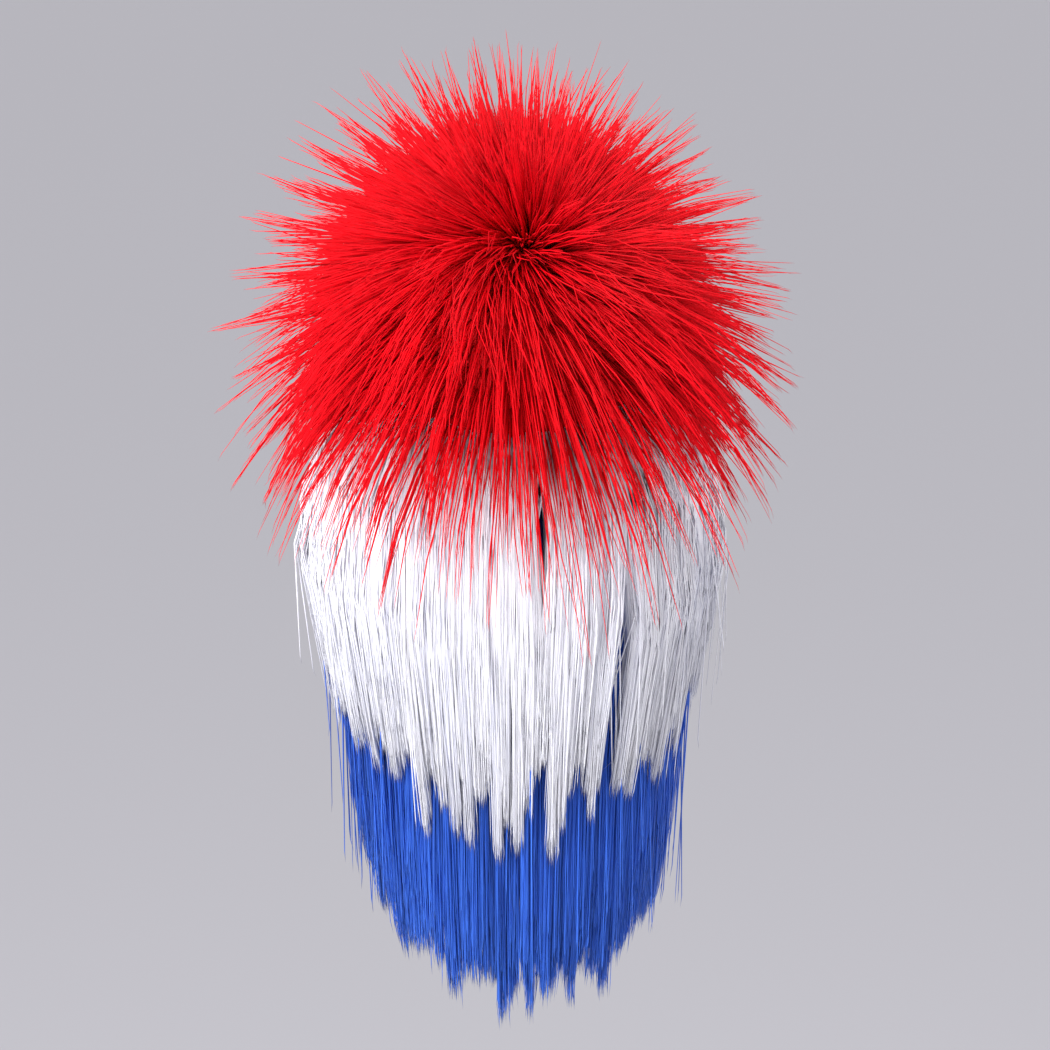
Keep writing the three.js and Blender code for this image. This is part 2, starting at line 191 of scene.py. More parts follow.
# The locks and strands of a tier
TIER_LOCKS = 58
LOCK_SCATTER = 0.3  # as a share of the space between locks
LOCK_SWELL = 1.3
LOCK_TONE = 0.14
TIER_STRANDS = 6400
OUTER_SHARE = 0.72  # of the strands lie near the outside
OUTER_DEPTH = 0.22  # within this share of the tier's thickness
INNER_FROM = 0.88  # strands past this share of them lie near the inside
INNER_DEPTH = 0.15
RAGGED_START = 0.25  # strands may end this share of TIP_LENGTH below the tier's tips
RAGGED_LIMIT = 2.2  # and at most this many times TIP_LENGTH above them
ROOT_ROWS = 14  # the strands start over this height at the top
GATHER_SPREAD = 0.5  # a strand gathers to its lock up to this much more than its tier says
TIER_GATHER_POWER = 2.6  # the higher, the closer to the tips the strands gather
WAVE_PHASE = 6  # a strand's wave starts at most here, radians
WAVE_BEND = 3.2  # and runs over this much along the strand, radians
WAVE_SIZE = 0.012  # sideways, radians of azimuth
STRAY_OUT = 3  # how far the tip of a stray strand stands off the tier
STRAY_SCATTER = 6
TIER_TIP_SCATTER = 1.1
TIER_RADIUS = 0.5
TIER_TONE = 0.5
TIER_TONE_SCATTER = 0.15

# The closed core inside a tier
CORE_STEPS_PER_LOCK = 4  # round
CORE_GAP = 0.001  # between the core and a parting, radians
CORE_TOP = 3  # it starts this far under the tier's top
CORE_OUTSIDE = 0.16  # as shares of the tier's thickness
CORE_INSIDE = 0.8

# All strands and cores
SIDEWAYS = np.array([0.31, -0.17, 0.93])  # an axis that few strands run along
KINK = 0.35  # how far a strand strays at each of its corners
RADIUS_RANGE = (0.75, 0.5)  # the thinnest strand, and how much is added at most
TONE_ACROSS = 0.008  # how much the tone differs across a strand
TONE_RANGE = (0.02, 0.98)
CORE_ROWS = 12
CORE_TONE = 0.45
CORE_TONE_ROUND = 0.1  # how much the tone changes round a core
CORE_SHADE_DOWN = 0.12  # and the shade down it
# The cores start at these places on the colour along a strand, near its root end, which is painted
# shade
RED_CORE_SHADE = 0.22
TIER_CORE_SHADE = 0.4
MAP_MARGIN = 0.002
CHUNK = 4000  # points that are compared at a time

# The corners along a strand, and its thickness at each as a share of its radius
RED_STRAND = {
    "along": np.array([0.08, 0.36, 0.66, 0.96, 1.0]),
    "thick": np.array([1.2, 1.25, 1.05, 0.4, 0.0]),
}
TIER_STRAND = {
    "along": np.array([0.0, 0.11, 0.24, 0.58, 0.97, 1.0]),
    "thick": np.array([1.0, 1.1, 1.15, 1.1, 0.45, 0.0]),
}

# The seeds of the random numbers
ROOT_SEED = 7
RED_SEED = 100
WHITE_SEED = 11
BLUE_SEED = 12


def smooth(x, low, high):
    """0 below low, 1 above high, and a smooth step between them."""
    share = np.clip((x - low) / (high - low), 0, 1)
    return share * share * (3 - 2 * share)


def vary(i, step):
    """An even but irregular number from -1 to 1 for each i."""
    return 2 * ((i * step) % 1) - 1


def mix(a, b, share):
    return a + (b - a) * share


def unit_length(vectors):
    return vectors / np.linalg.norm(vectors, axis=-1, keepdims=True)


# The head form

def semi_axes(offset):
    return np.array([HEAD_WIDTH / 2, HEAD_LENGTH / 2, CROWN_HEIGHT]) + offset


def unit_at(phi, theta):
    """The unit of an azimuth and an angle from the crown."""
    return np.stack(
        [np.sin(theta) * np.cos(phi), np.sin(theta) * np.sin(phi), np.cos(theta) + 0 * phi], -1
    )


def on_head(units, offset):
    return units * semi_axes(offset) + np.array([0, 0, -CROWN_HEIGHT])


def edge_rise(phi):
    """How far the edge of the cap lies above the head's widest level."""
    tilt = (BROW_RISE - NAPE_DROP) / 2 - (BROW_RISE + NAPE_DROP) / 2 * np.sin(phi)
    from_tab = (np.arcsin(np.sin(phi)) / RAD - TAB_ANGLE) / TAB_SPREAD
    return tilt - TAB_DROP * np.exp(-from_tab * from_tab)


def edge_angle(phi):
    return np.arccos(np.clip(edge_rise(phi) / CROWN_HEIGHT, -STEEPEST, STEEPEST))


def angle_above(phi, height):
    """The angle from the crown of a place so many millimetres above the edge."""
    level = np.hypot(HEAD_WIDTH / 2 * np.cos(phi), HEAD_LENGTH / 2 * np.sin(phi))
    arc = edge_angle(phi) * (level + CROWN_HEIGHT) / 2
    return edge_angle(phi) * (1 - height / arc)


def row_share(phi):
    """How much of the tiers' full row height there is: none in front of the ears."""
    behind = np.sin(phi)
    in_front = behind < math.sin(TIER_FROM) - ROW_START_SLACK
    return np.where(in_front, 0, mix(SIDE_ROWS, 1, behind))


def blue_top_angle(phi):
    return angle_above(phi, BLUE_ROWS * row_share(phi))


def white_top_angle(phi):
    return angle_above(phi, (BLUE_ROWS + WHITE_ROWS) * row_share(phi))


def at_crown(phi):
    return 0 * phi


def crown_bottom(phi):
    return edge_angle(phi) * CROWN_SHARE


def red_bottom(phi):
    return np.where(row_share(phi) > 0, white_top_angle(phi), angle_above(phi, RED_EDGE))


def level_of(theta):
    return (CROWN_HEIGHT + CAP_WALL) * np.cos(theta) - CROWN_HEIGHT


def turned_about_y(vector, angle):
    x, y, z = vector
    cosine, sine = math.cos(angle), math.sin(angle)
    return np.array([x * cosine + z * sine, y, z * cosine - x * sine])


STRAIGHT_BACK = unit_at(np.float64(90 * RAD), np.float64(WHORL_TILT * RAD))
WHORL = turned_about_y(STRAIGHT_BACK, WHORL_SIDE * RAD)


# Curves of the red hair

def whorl_angle(units):
    return np.arccos(np.clip(units @ WHORL, -1, 1))


def near_whorl(units):
    """1 at the whorl, and less and less away from it."""
    return np.exp(-((whorl_angle(units) / WHORL_REACH) ** 2))


def thinned(units):
    """1 on the lowest red rows behind, where the hair hangs in thin wisps over the white."""
    return smooth(-units[:, 2], *WISPS_DOWNWARDS) * smooth(units[:, 1], *WISPS_BACKWARDS)


def combed(units, normal, from_whorl, turn):
    """The direction over the head in which the hair is combed: away from the whorl."""
    away = units * np.cos(from_whorl)[:, None] - WHORL
    away = away * semi_axes(0)
    away = away - normal * (away * normal).sum(-1, keepdims=True)
    away = away / np.maximum(np.linalg.norm(away, axis=-1, keepdims=True), TINY)
    angle = (turn + SWIRL * np.exp(-((from_whorl / SWIRL_REACH) ** 2)))[:, None]
    return away * np.cos(angle) + np.cross(normal, away) * np.sin(angle)


def red_hair(units, length=1.0, turn=0.0, tilt=0.0):
    """The start, middle and tip of each red hair that is rooted at these units of the head."""
    normal = unit_length(units / semi_axes(CAP_WALL))
    from_whorl = whorl_angle(units)
    away = combed(units, normal, from_whorl, turn)
    low = smooth(-units[:, 2], *LOW_DOWNWARDS)
    front = smooth(-units[:, 1], *FRONT_FORWARDS)
    thin = thinned(units)
    lean = RED_LEAN + RED_LOW_LEAN * low + WISP_LEAN * thin
    lean = lean * np.minimum(1, from_whorl / (WHORL_SPREAD * RAD)) + tilt
    start = unit_length(normal + away * lean[:, None])
    droop = RED_DROOP + RED_LOW_DROOP * low + FRINGE_DROOP * front + WISP_DROOP * thin
    end = unit_length(start - droop[:, None] * np.array([0, 0, 1]))
    full = mix(RED_LENGTH, FRINGE_LENGTH, front) * mix(1, LOW_SHARE, low)
    full = full * mix(1, WHORL_SHARE, near_whorl(units)) * mix(1, WISP_SHARE, thin)
    half = (full * length / 2)[:, None]
    root = on_head(units, ROOT_LIFT)
    middle = root + start * half
    return root, middle, middle + end * half


def along(curve, s):
    """Places at shares s of each quadratic curve: (curves, places, 3)."""
    root, middle, tip = (points[:, None, :] for points in curve)
    s = s[None, :, None] if s.ndim == 1 else s[:, :, None]
    return root * (1 - s) ** 2 + 2 * middle * s * (1 - s) + tip * s * s


def spiral(count):
    """Units that wind evenly outwards from the whorl, closer together near it."""
    i = np.arange(count)
    theta = np.arccos(1 - 2 * ((i + 0.5) / count) ** ROOT_CROWDING)
    flat = unit_at(i * GOLDEN_ANGLE, theta)
    turn = Vector((0, 0, 1)).rotation_difference(Vector(WHORL)).to_matrix()
    return flat @ np.array(turn).T


def nearest(points, centres):
    """For each point, the index of the nearest centre."""
    found = np.empty(len(points), int)
    for at in range(0, len(points), CHUNK):
        found[at : at + CHUNK] = np.argmax(points[at : at + CHUNK] @ centres.T, axis=1)
    return found


# Meshes. A mesh part is its corners, the faces of one unit, the corners in a unit, the number
# of units, and the map of its corners: their tone, and their place along the strand.

def tubes(points, radius, tone):
    """The mesh part of closed three-sided strands that end in a point."""
    count, places, _ = points.shape
    tangent = unit_length(np.gradient(points, axis=1))
    side = unit_length(np.cross(tangent, SIDEWAYS))
    up = np.cross(side, tangent)
    ring = []
    for angle in (90 * RAD, 210 * RAD, 330 * RAD):
        offset = side * math.cos(angle) + up * math.sin(angle)
        ring.append(points[:, :-1] + offset[:, :-1] * radius[:, :-1, None])
    body = np.stack(ring, 2).reshape(count, -1, 3)
    corners = np.concatenate([body, points[:, -1:]], 1)
    each = corners.shape[1]
    faces = []
    for k in range(places - 2):
        for j in range(3):
            beside = (j + 1) % 3
            faces.append([3 * k + j, 3 * k + beside, 3 * k + 3 + beside, 3 * k + 3 + j])
    last = 3 * (places - 2)
    faces += [[last + j, last + (j + 1) % 3, each - 1] for j in range(3)]
    faces.append([2, 1, 0])
    share = np.linspace(0, 1, places)
    tone_round = np.tile([-TONE_ACROSS, 0.0, TONE_ACROSS], places - 1)
    maps = np.empty((count, each, 2))
    maps[:, :, 0] = tone[:, None] + np.append(tone_round, 0.0)
    maps[:, :, 1] = np.append(np.repeat(share[:-1], 3), share[-1])
    return corners.reshape(-1, 3), faces, each, count, maps.reshape(-1, 2)


def shell(outside, inside, shade):
    """The mesh part of a closed shell from two grids of points, (across, down, 3)."""
    across, down, _ = outside.shape
    corners = np.concatenate([outside.reshape(-1, 3), inside.reshape(-1, 3)])
    second = across * down
    faces = []
    for i in range(across - 1):
        for k in range(down - 1):
            a, b = i * down + k, (i + 1) * down + k
            faces.append([a, a + 1, b + 1, b])
            faces.append([second + a, second + b, second + b + 1, second + a + 1])
    for k in range(down - 1):
        a, b = k, (across - 1) * down + k
        faces.append([a, second + a, second + a + 1, a + 1])
        faces.append([b, b + 1, second + b + 1, second + b])
    for i in range(across - 1):
        a, b = i * down, (i + 1) * down
        faces.append([a, b, second + b, second + a])
        c, d = a + down - 1, b + down - 1
        faces.append([c, second + c, second + d, d])
    tones = np.repeat(np.linspace(CORE_TONE, CORE_TONE + CORE_TONE_ROUND, across), down)
    shades = np.tile(np.linspace(shade, shade + CORE_SHADE_DOWN, down), across)
    maps = np.stack([np.tile(tones, 2), np.tile(shades, 2)], -1)
    return corners, faces, len(corners), 1, maps


def joined(parts):
    """The corners, the faces' loops and starts, and the maps of all mesh parts together."""
    corners, maps, loops, starts = [], [], [], []
    base = 0
    loop_base = 0
    for points, faces, each, count, places in parts:
        flat = np.array([corner for face in faces for corner in face])
        sizes = np.array([len(face) for face in faces])
        copies = np.arange(count)[:, None]
        first = np.concatenate([[0], np.cumsum(sizes)[:-1]])
        loops.append((flat[None, :] + base + each * copies).ravel())
        starts.append((first[None, :] + loop_base + len(flat) * copies).ravel())
        corners.append(points * MM)
        maps.append(places)
        base += len(points)
        loop_base += len(flat) * count
    return [np.concatenate(lists) for lists in (corners, loops, starts, maps)]


def make_mesh(name, parts, material):
    """One object whose mesh holds all the mesh parts."""
    corners, loops, starts, maps = joined(parts)
    mesh = bpy.data.meshes.new(name)
    mesh.vertices.add(len(corners))
    mesh.vertices.foreach_set("co", corners.astype(np.float32).ravel())
    mesh.loops.add(len(loops))
    mesh.loops.foreach_set("vertex_index", loops.astype(np.int32))
    mesh.polygons.add(len(starts))
    mesh.polygons.foreach_set("loop_start", starts.astype(np.int32))
    mesh.update(calc_edges=True)
    mesh.validate()
    uv = np.clip(maps[loops], MAP_MARGIN, 1 - MAP_MARGIN).astype(np.float32).ravel()
    for layer in ("OFBake", "StrandMap"):
        mesh.uv_layers.new(name=layer).uv.foreach_set("vector", uv)
    mesh.polygons.foreach_set("use_smooth", np.ones(len(mesh.polygons), bool))
    mesh.materials.append(material)
    piece = bpy.data.objects.new(name, mesh)
    bpy.context.scene.collection.objects.link(piece)
    return piece


def radii(rng, thickest, strand, count):
    """The radius of each strand at each of its corners."""
    least, added = RADIUS_RANGE
    radius = thickest * (least + added * rng.random(count))
    return radius[:, None] * strand["thick"][None, :]


def tones(rng, tone, scatter):
    return np.clip(tone + rng.normal(0, scatter, len(tone)), *TONE_RANGE)


def scattered_tips(rng, places, s, scatter):
    """The strands with their tips strayed from where they lay."""
    return places + rng.normal(0, scatter, (len(places), 1, 3)) * (s ** 2)[None, :, None]


# Red hair

def red_spikes():
    """The spikes that strands gather into: their roots, lengths and curves."""
    roots = spiral(RED_SPIKES)
    index = np.arange(RED_SPIKES)
    shorter = np.abs(vary(index, LENGTH_STEP)) ** SPIKE_LENGTH_POWER
    length = LONGEST_SPIKE - SPIKE_SHORTER * shorter
    turn = mix(SPIKE_TURN, WHORL_TURN, near_whorl(roots)) * vary(index, TURN_STEP)
    tilt = SPIKE_TILT * vary(index, TILT_STEP)
    return roots, length, red_hair(roots, length=length, turn=turn, tilt=tilt)


def region_roots(region, rng):
    """The roots of the strands in a region, fewer where the hair is thin."""
    roots = spiral(RED_STRANDS)
    scatter = np.random.default_rng(ROOT_SEED).normal(0, ROOT_SCATTER, roots.shape)
    roots = unit_length(roots + scatter)
    theta = np.arccos(np.clip(roots[:, 2], -1, 1))
    phi = np.arctan2(roots[:, 1], roots[:, 0])
    phi = region["from"] * RAD + (phi - region["from"] * RAD) % FULL_TURN
    inside = phi < region["to"] * RAD
    inside &= theta >= region["top"](phi)
    inside &= theta < region["bottom"](phi)
    inside &= rng.random(len(roots)) < mix(1, WISP_ROOTS, thinned(roots))
    return roots[inside]


def red_strands(region, seed):
    """The strands of a region: short ones of the body, and others drawn to the spikes."""
    rng = np.random.default_rng(seed)
    spikes, spike_length, spike_curves = red_spikes()
    roots = region_roots(region, rng)
    count = len(roots)
    spike = nearest(roots, spikes)
    whorl = near_whorl(roots)
    body = rng.random(count) < mix(BODY_SHARE, WISP_BODY_SHARE, thinned(roots))
    loose = ~body & (rng.random(count) < LOOSE_SHARE)

    short = mix(*BODY_LENGTH, rng.random(count))
    shorter = SHORT_OF_SPIKE * rng.random(count) ** SHORT_OF_SPIKE_POWER
    length = np.where(body, short, spike_length[spike] * (1 - shorter))
    turn = rng.normal(0, TURN_SCATTER, count) * mix(1, WHORL_TURN_SCATTER, whorl ** 3)
    turn += loose * rng.normal(0, LOOSE_TURN, count)
    tilt = rng.normal(0, TILT_SCATTER, count)
    tilt += loose * rng.normal(0, LOOSE_TILT, count)
    own = red_hair(roots, length=length, turn=turn, tilt=tilt)

    s = RED_STRAND["along"]
    least, added = SPIKE_GATHER
    gather = np.where(body, BODY_GATHER, least + added * rng.random(count))
    gather = np.where(loose, LOOSE_GATHER, gather)
    to_spike = gather[:, None, None] * (s ** GATHER_POWER)[None, :, None]
    reach = s[None, :] * (length / spike_length[spike])[:, None]
    target = along([points[spike] for points in spike_curves], reach)
    places = mix(along(own, s), target, to_spike)
    places = scattered_tips(rng, places, s, RED_TIP_SCATTER)
    places += rng.normal(0, KINK, places.shape) * s[None, :, None]

    radius = radii(rng, np.where(body, BODY_RADIUS, SPIKE_RADIUS), RED_STRAND, count)
    # The tone is darker near the whorl: painted shade of the hollow there
    tone = RED_TONE + SPIKE_TONE * vary(spike, TONE_STEP) - WHORL_PAINTED_SHADE * whorl
    return tubes(places, radius, tones(rng, tone, RED_TONE_SCATTER))


def red_core(region):
    """The closed core under the strands of a region."""
    steps = round((region["to"] - region["from"]) / CORE_DEGREES)
    across = max(CORE_SIDES, steps) + 1
    azimuth = np.linspace(region["from"], region["to"], across) * RAD
    hole = CROWN_HOLE if region["top"] is at_crown else 0.0
    share = np.linspace(hole, 1, CORE_ROWS)[None, :]
    theta = mix(region["top"](azimuth)[:, None], region["bottom"](azimuth)[:, None], share)
    units = unit_at(azimuth[:, None] + 0 * theta, theta).reshape(-1, 3)
    reach = mix(RED_CORE, WISP_CORE, thinned(units))
    reach = mix(reach, WHORL_CORE, near_whorl(units))
    outside = along(red_hair(units), reach[:, None]).reshape(across, CORE_ROWS, 3)
    under = on_head(units, ROOT_LIFT).reshape(across, CORE_ROWS, 3)
    return shell(outside, under, RED_CORE_SHADE)


# The tiers

def fall_size(level):
    """Half width and depth of the outside of the fall at a level."""
    drop = (-CROWN_HEIGHT - level) / BLUE_DROP
    wide = TIER_HALF_WIDTH * np.interp(drop, FALL["drop"], FALL["wide"])
    deep = TIER_DEPTH * np.interp(drop, FALL["drop"], FALL["deep"])
    return wide, deep


def in_fall(phi, level, under):
    """A place in the fall: at an azimuth and a level, so far under its outside."""
    wide, deep = fall_size(level)
    x = (wide - under) * np.cos(phi)
    y = (deep - under) * np.sin(phi)
    return np.stack([x, y, level + 0 * phi], -1)


def white_tip(phi):
    return -CROWN_HEIGHT - WHITE_DROP + WHITE_SIDE_RISE * (1 - np.sin(phi))


def blue_tip(phi):
    rise = BLUE_SIDE_RISE * (1 - np.sin(phi)) * (1 + BLUE_SKEW * np.cos(phi))
    return -CROWN_HEIGHT - BLUE_DROP + rise


def white_thickness(level, phi):
    left = (level - white_tip(phi)) / WHITE_DROP
    thinning = mix(WHITE_TIP_THICKNESS, 1, smooth(left, *WHITE_THINNING))
    return WHITE_THICKNESS * thinning * smooth(left, *WHITE_FADING)


def blue_thickness(level, phi):
    thinning = smooth(level, blue_tip(phi), -CROWN_HEIGHT)
    return BLUE_THICKNESS * mix(BLUE_TIP_THICKNESS, 1, thinning)


def hanging_inside(phi, level, under, rows_end):
    """The inside of a tier, which comes off the head on a ramp below its rows."""
    rooted = smooth(level, rows_end - RAMP, rows_end)[..., None]
    height = np.clip((level + CROWN_HEIGHT) / CROWN_HEIGHT, -STEEPEST, STEEPEST)
    root = on_head(unit_at(phi, np.arccos(height)), ROOT_LIFT)
    root[..., 2] = level
    return mix(in_fall(phi, level, under), root, rooted)


def white_inside(phi, level):
    rows_end = level_of(blue_top_angle(phi))
    return hanging_inside(phi, level, white_thickness(level, phi), rows_end)


def blue_outside(phi, level):
    rows_end = level_of(blue_top_angle(phi))
    return hanging_inside(phi, level, white_thickness(level, phi) + BLUE_GAP, rows_end)


def blue_inside(phi, level):
    under = white_thickness(level, phi) + BLUE_GAP + blue_thickness(level, phi)
    return hanging_inside(phi, level, under, level_of(edge_angle(phi)))


# Each tier has its surfaces and partings, and then: the share of its strands that stray, how
# ragged its ends and how uneven its locks are, in shares of TIP_LENGTH, how far above the tips
# its core stops on a lock and how much more beside it, and how far a lock's strands gather
WHITE_TIER = {
    "top": lambda phi: level_of(white_top_angle(phi)),
    "tip": white_tip,
    "outside": lambda phi, level: in_fall(phi, level, 0 * level),
    "inside": white_inside,
    "partings": PARTINGS,
    "stray": 0.03,
    "ragged": 0.5,
    "uneven": 0.34,
    "core_stop": 0.5,
    "notch": 2.8,
    "gather": 0.45,
}
BLUE_TIER = {
    "top": lambda phi: level_of(blue_top_angle(phi)) - BLUE_TOP_DROP * RAMP,
    "tip": blue_tip,
    "outside": blue_outside,
    "inside": blue_inside,
    "partings": [],
    "stray": 0.06,
    "ragged": 0.75,
    "uneven": 0.2,
    "core_stop": 0.8,
    "notch": 1.2,
    "gather": 0.2,
}


def opened(phi, level, partings):
    """The azimuths moved apart at each parting."""
    for parting in partings:
        middle = (parting["top"] + parting["bottom"]) / 2
        spread = (parting["top"] - parting["bottom"]) / 2
        open_share = np.clip(1 - ((level - middle) / spread) ** 2, 0, 1)
        width = parting["half"] * open_share / TIER_HALF_WIDTH
        from_it = phi - parting["at"] * RAD
        reach = PARTING_REACH * parting["half"] / TIER_HALF_WIDTH
        phi = phi + np.sign(from_it) * width * np.exp(-np.abs(from_it) / reach)
    return phi


def tier_locks(tier, rng):
    """Where each lock of a tier hangs, and how its tip, its swell and its tone differ."""
    at = np.linspace(TIER_FROM, TIER_TO, TIER_LOCKS)
    at += rng.normal(0, LOCK_SCATTER * TIER_SPAN / TIER_LOCKS, TIER_LOCKS)
    tip = tier["uneven"] * TIP_LENGTH * rng.normal(0, 1, TIER_LOCKS)
    swell = rng.normal(0, 1, TIER_LOCKS) * LOCK_SWELL
    tone = rng.normal(0, LOCK_TONE, TIER_LOCKS)
    return {"at": at, "tip": tip, "swell": swell, "tone": tone}


def nearest_lock(phi, locks):
    return np.argmin(np.abs(phi[:, None] - locks["at"][None, :]), axis=1)


def strand_depths(rng, count):
    """How deep in the tier each strand lies: most near the outside, some near the inside."""
    layer = rng.random(count)
    depth = rng.random(count)
    depth = np.where(layer < OUTER_SHARE, OUTER_DEPTH * depth, depth)
    return np.where(layer > INNER_FROM, 1 - INNER_DEPTH * depth, depth)


def tier_strands(tier, locks, rng):
    count = TIER_STRANDS
    phi = rng.uniform(TIER_FROM, TIER_TO, count)
    lock = nearest_lock(phi, locks)
    depth = strand_depths(rng, count)
    ragged = rng.exponential(tier["ragged"] * TIP_LENGTH, count) - RAGGED_START * TIP_LENGTH
    tip = tier["tip"](phi) + locks["tip"][lock] + np.minimum(ragged, RAGGED_LIMIT * TIP_LENGTH)
    top = tier["top"](phi) - rng.random(count) * ROOT_ROWS

    s = TIER_STRAND["along"]
    level = mix(top[:, None], tip[:, None], s[None, :])
    gather = tier["gather"] + GATHER_SPREAD * rng.random(count)
    gather = gather[:, None] * (s ** TIER_GATHER_POWER)[None, :]
    azimuth = mix(phi[:, None], locks["at"][lock][:, None], gather)
    phase = WAVE_PHASE * rng.random(count)[:, None]
    wave = rng.normal(0, WAVE_SIZE, count)[:, None] * np.sin(WAVE_BEND * s[None, :] + phase)
    azimuth = opened(azimuth + wave, level, tier["partings"])

    places = mix(tier["outside"](azimuth, level), tier["inside"](azimuth, level), depth[:, None, None])
    outwards = np.stack([np.cos(azimuth), np.sin(azimuth), 0 * azimuth], -1)
    swell = locks["swell"][lock][:, None] * np.sin(math.pi * s)[None, :]
    stray = (rng.random(count) < tier["stray"]) * rng.normal(STRAY_OUT, STRAY_SCATTER, count)
    places += outwards * (swell + stray[:, None] * (s ** 2)[None, :])[..., None]
    places = scattered_tips(rng, places, s, TIER_TIP_SCATTER)
    places += rng.normal(0, KINK, places.shape)

    radius = radii(rng, TIER_RADIUS, TIER_STRAND, count)
    tone = tones(rng, TIER_TONE + locks["tone"][lock], TIER_TONE_SCATTER)
    return tubes(places, radius, tone)


def tier_core(tier, azimuth, core_end):
    """A closed shell inside a tier, from its rows down to core_end."""
    top = tier["top"](azimuth) - CORE_TOP
    level = mix(top, core_end, np.linspace(0, 1, CORE_ROWS)[None, :])
    azimuth = opened(azimuth + 0 * level, level, tier["partings"])
    outside = tier["outside"](azimuth, level)
    inside = tier["inside"](azimuth, level)
    outer = mix(outside, inside, CORE_OUTSIDE)
    inner = mix(outside, inside, CORE_INSIDE)
    return shell(outer, inner, TIER_CORE_SHADE)


def tier_cores(tier, locks):
    """The cores of a tier, one on each side of a parting, notched between the locks."""
    edges = [TIER_FROM] + [parting["at"] * RAD for parting in tier["partings"]] + [TIER_TO]
    cores = []
    for first, last in zip(edges[:-1], edges[1:]):
        across = round(CORE_STEPS_PER_LOCK * TIER_LOCKS * (last - first) / TIER_SPAN) + 1
        azimuth = np.linspace(first + CORE_GAP, last - CORE_GAP, across)
        lock = nearest_lock(azimuth, locks)
        off_lock = np.abs(azimuth - locks["at"][lock]) * TIER_LOCKS / TIER_SPAN
        notch = TIP_LENGTH * (tier["core_stop"] + tier["notch"] * off_lock)
        core_end = tier["tip"](azimuth) + locks["tip"][lock] + notch
        cores.append(tier_core(tier, azimuth[:, None], core_end[:, None]))
    return cores


def tier_parts(tier, seed):
    rng = np.random.default_rng(seed)
    locks = tier_locks(tier, rng)
    return tier_cores(tier, locks) + [tier_strands(tier, locks, rng)]


# Materials. Colour stops are a place from 0 to 1 and a colour.

NET_MESH = 3.0  # between the threads of the cap's net
BAND_RIB = 1.6  # between the ribs of its elastic edge
THREAD_HEIGHT = 0.4
THREAD_BUMP = 0.7
GROUND_TO = 0.5  # of a thread's height, from where the colour turns into the thread's
THREAD_FROM = 0.85
WAVES_PER_UNIT = 20  # in a wave texture of scale 1

# Colour along a red strand, root (0) to tip (1): painted shade at the root, deep in the hair, up to
# the lit red at the tip
RED_ROOT_SHADE_RAMP = [
    (0.0, (0.52, 0.0, 0.004)),
    (0.2, (0.8, 0.0, 0.006)),
    (0.6, (0.86, 0.001, 0.009)),
    (1.0, (0.9, 0.006, 0.016)),
]
RED_TONES = [
    (0.0, (0.6, 0.6, 0.6)),
    (0.5, (0.92, 0.92, 0.92)),
    (1.0, (1.0, 1.0, 1.0)),
]
# Colour along a white strand: blue-grey painted shade at the root, up to the lit white at the tip
WHITE_ROOT_SHADE_RAMP = [
    (0.0, (0.6, 0.6, 0.66)),
    (0.2, (0.9, 0.9, 0.95)),
    (1.0, (0.95, 0.95, 0.98)),
]
WHITE_TONES = [
    (0.0, (0.76, 0.77, 0.84)),
    (0.5, (0.96, 0.96, 0.98)),
    (1.0, (1.0, 1.0, 1.0)),
]
# Colour along a blue strand: painted shade at the root, up to a painted highlight at the tip
BLUE_ROOT_SHADE_RAMP = [
    (0.0, (0.02, 0.07, 0.38)),
    (0.3, (0.035, 0.13, 0.64)),
    (0.75, (0.055, 0.19, 0.82)),
    (1.0, (0.1, 0.28, 0.9)),
]
BLUE_TONES = [
    (0.0, (0.4, 0.4, 0.45)),
    (0.5, (0.85, 0.85, 0.9)),
    (1.0, (1.0, 1.0, 1.0)),
]


def new_material(name, roughness, specular):
    material = bpy.data.materials.new(name)
    material.use_nodes = True
    shader = material.node_tree.nodes["Principled BSDF"]
    shader.inputs["Roughness"].default_value = roughness
    shader.inputs["Specular IOR Level"].default_value = specular
    return material, shader


def ramp(tree, value, stops):
    node = tree.nodes.new("ShaderNodeValToRGB")
    elements = node.color_ramp.elements
    while len(elements) < len(stops):
        elements.new(0.5)
    for element, (place, colour) in zip(elements, stops):
        element.position = place
        element.color = (*colour, 1)
    tree.links.new(value, node.inputs["Fac"])
    return node.outputs["Color"]


def hair_material(name, stops, tone_stops, roughness, specular):
    """Hair whose colour runs along the strand, from painted shade at the root to the lit colour at the
    tip, and whose strands differ in tone.
    """
    material, shader = new_material(name, roughness, specular)
    tree = material.node_tree
    places = tree.nodes.new("ShaderNodeUVMap")
    places.uv_map = "StrandMap"
    split = tree.nodes.new("ShaderNodeSeparateXYZ")
    tree.links.new(places.outputs["UV"], split.inputs["Vector"])
    product = tree.nodes.new("ShaderNodeMix")
    product.data_type = "RGBA"
    product.blend_type = "MULTIPLY"
    product.inputs["Factor"].default_value = 1.0
    tree.links.new(ramp(tree, split.outputs["Y"], stops), product.inputs["A"])
    tree.links.new(ramp(tree, split.outputs["X"], tone_stops), product.inputs["B"])
    tree.links.new(product.outputs["Result"], shader.inputs["Base Color"])
    return material


def threads(tree, directions, spacing):
    """The height of threads that run across each of these axes, so many millimetres apart."""
    places = tree.nodes.new("ShaderNodeTexCoord")
    height = None
    for direction in directions:
        wave = tree.nodes.new("ShaderNodeTexWave")
        wave.bands_direction = direction
        wave.inputs["Scale"].default_value = FULL_TURN / (WAVES_PER_UNIT * spacing * MM)
        tree.links.new(places.outputs["Object"], wave.inputs["Vector"])
        if height is None:
            height = wave.outputs["Fac"]
            continue
        highest = tree.nodes.new("ShaderNodeMath")
        highest.operation = "MAXIMUM"
        tree.links.new(height, highest.inputs[0])
        tree.links.new(wave.outputs["Fac"], highest.inputs[1])
        height = highest.outputs[0]
    return height


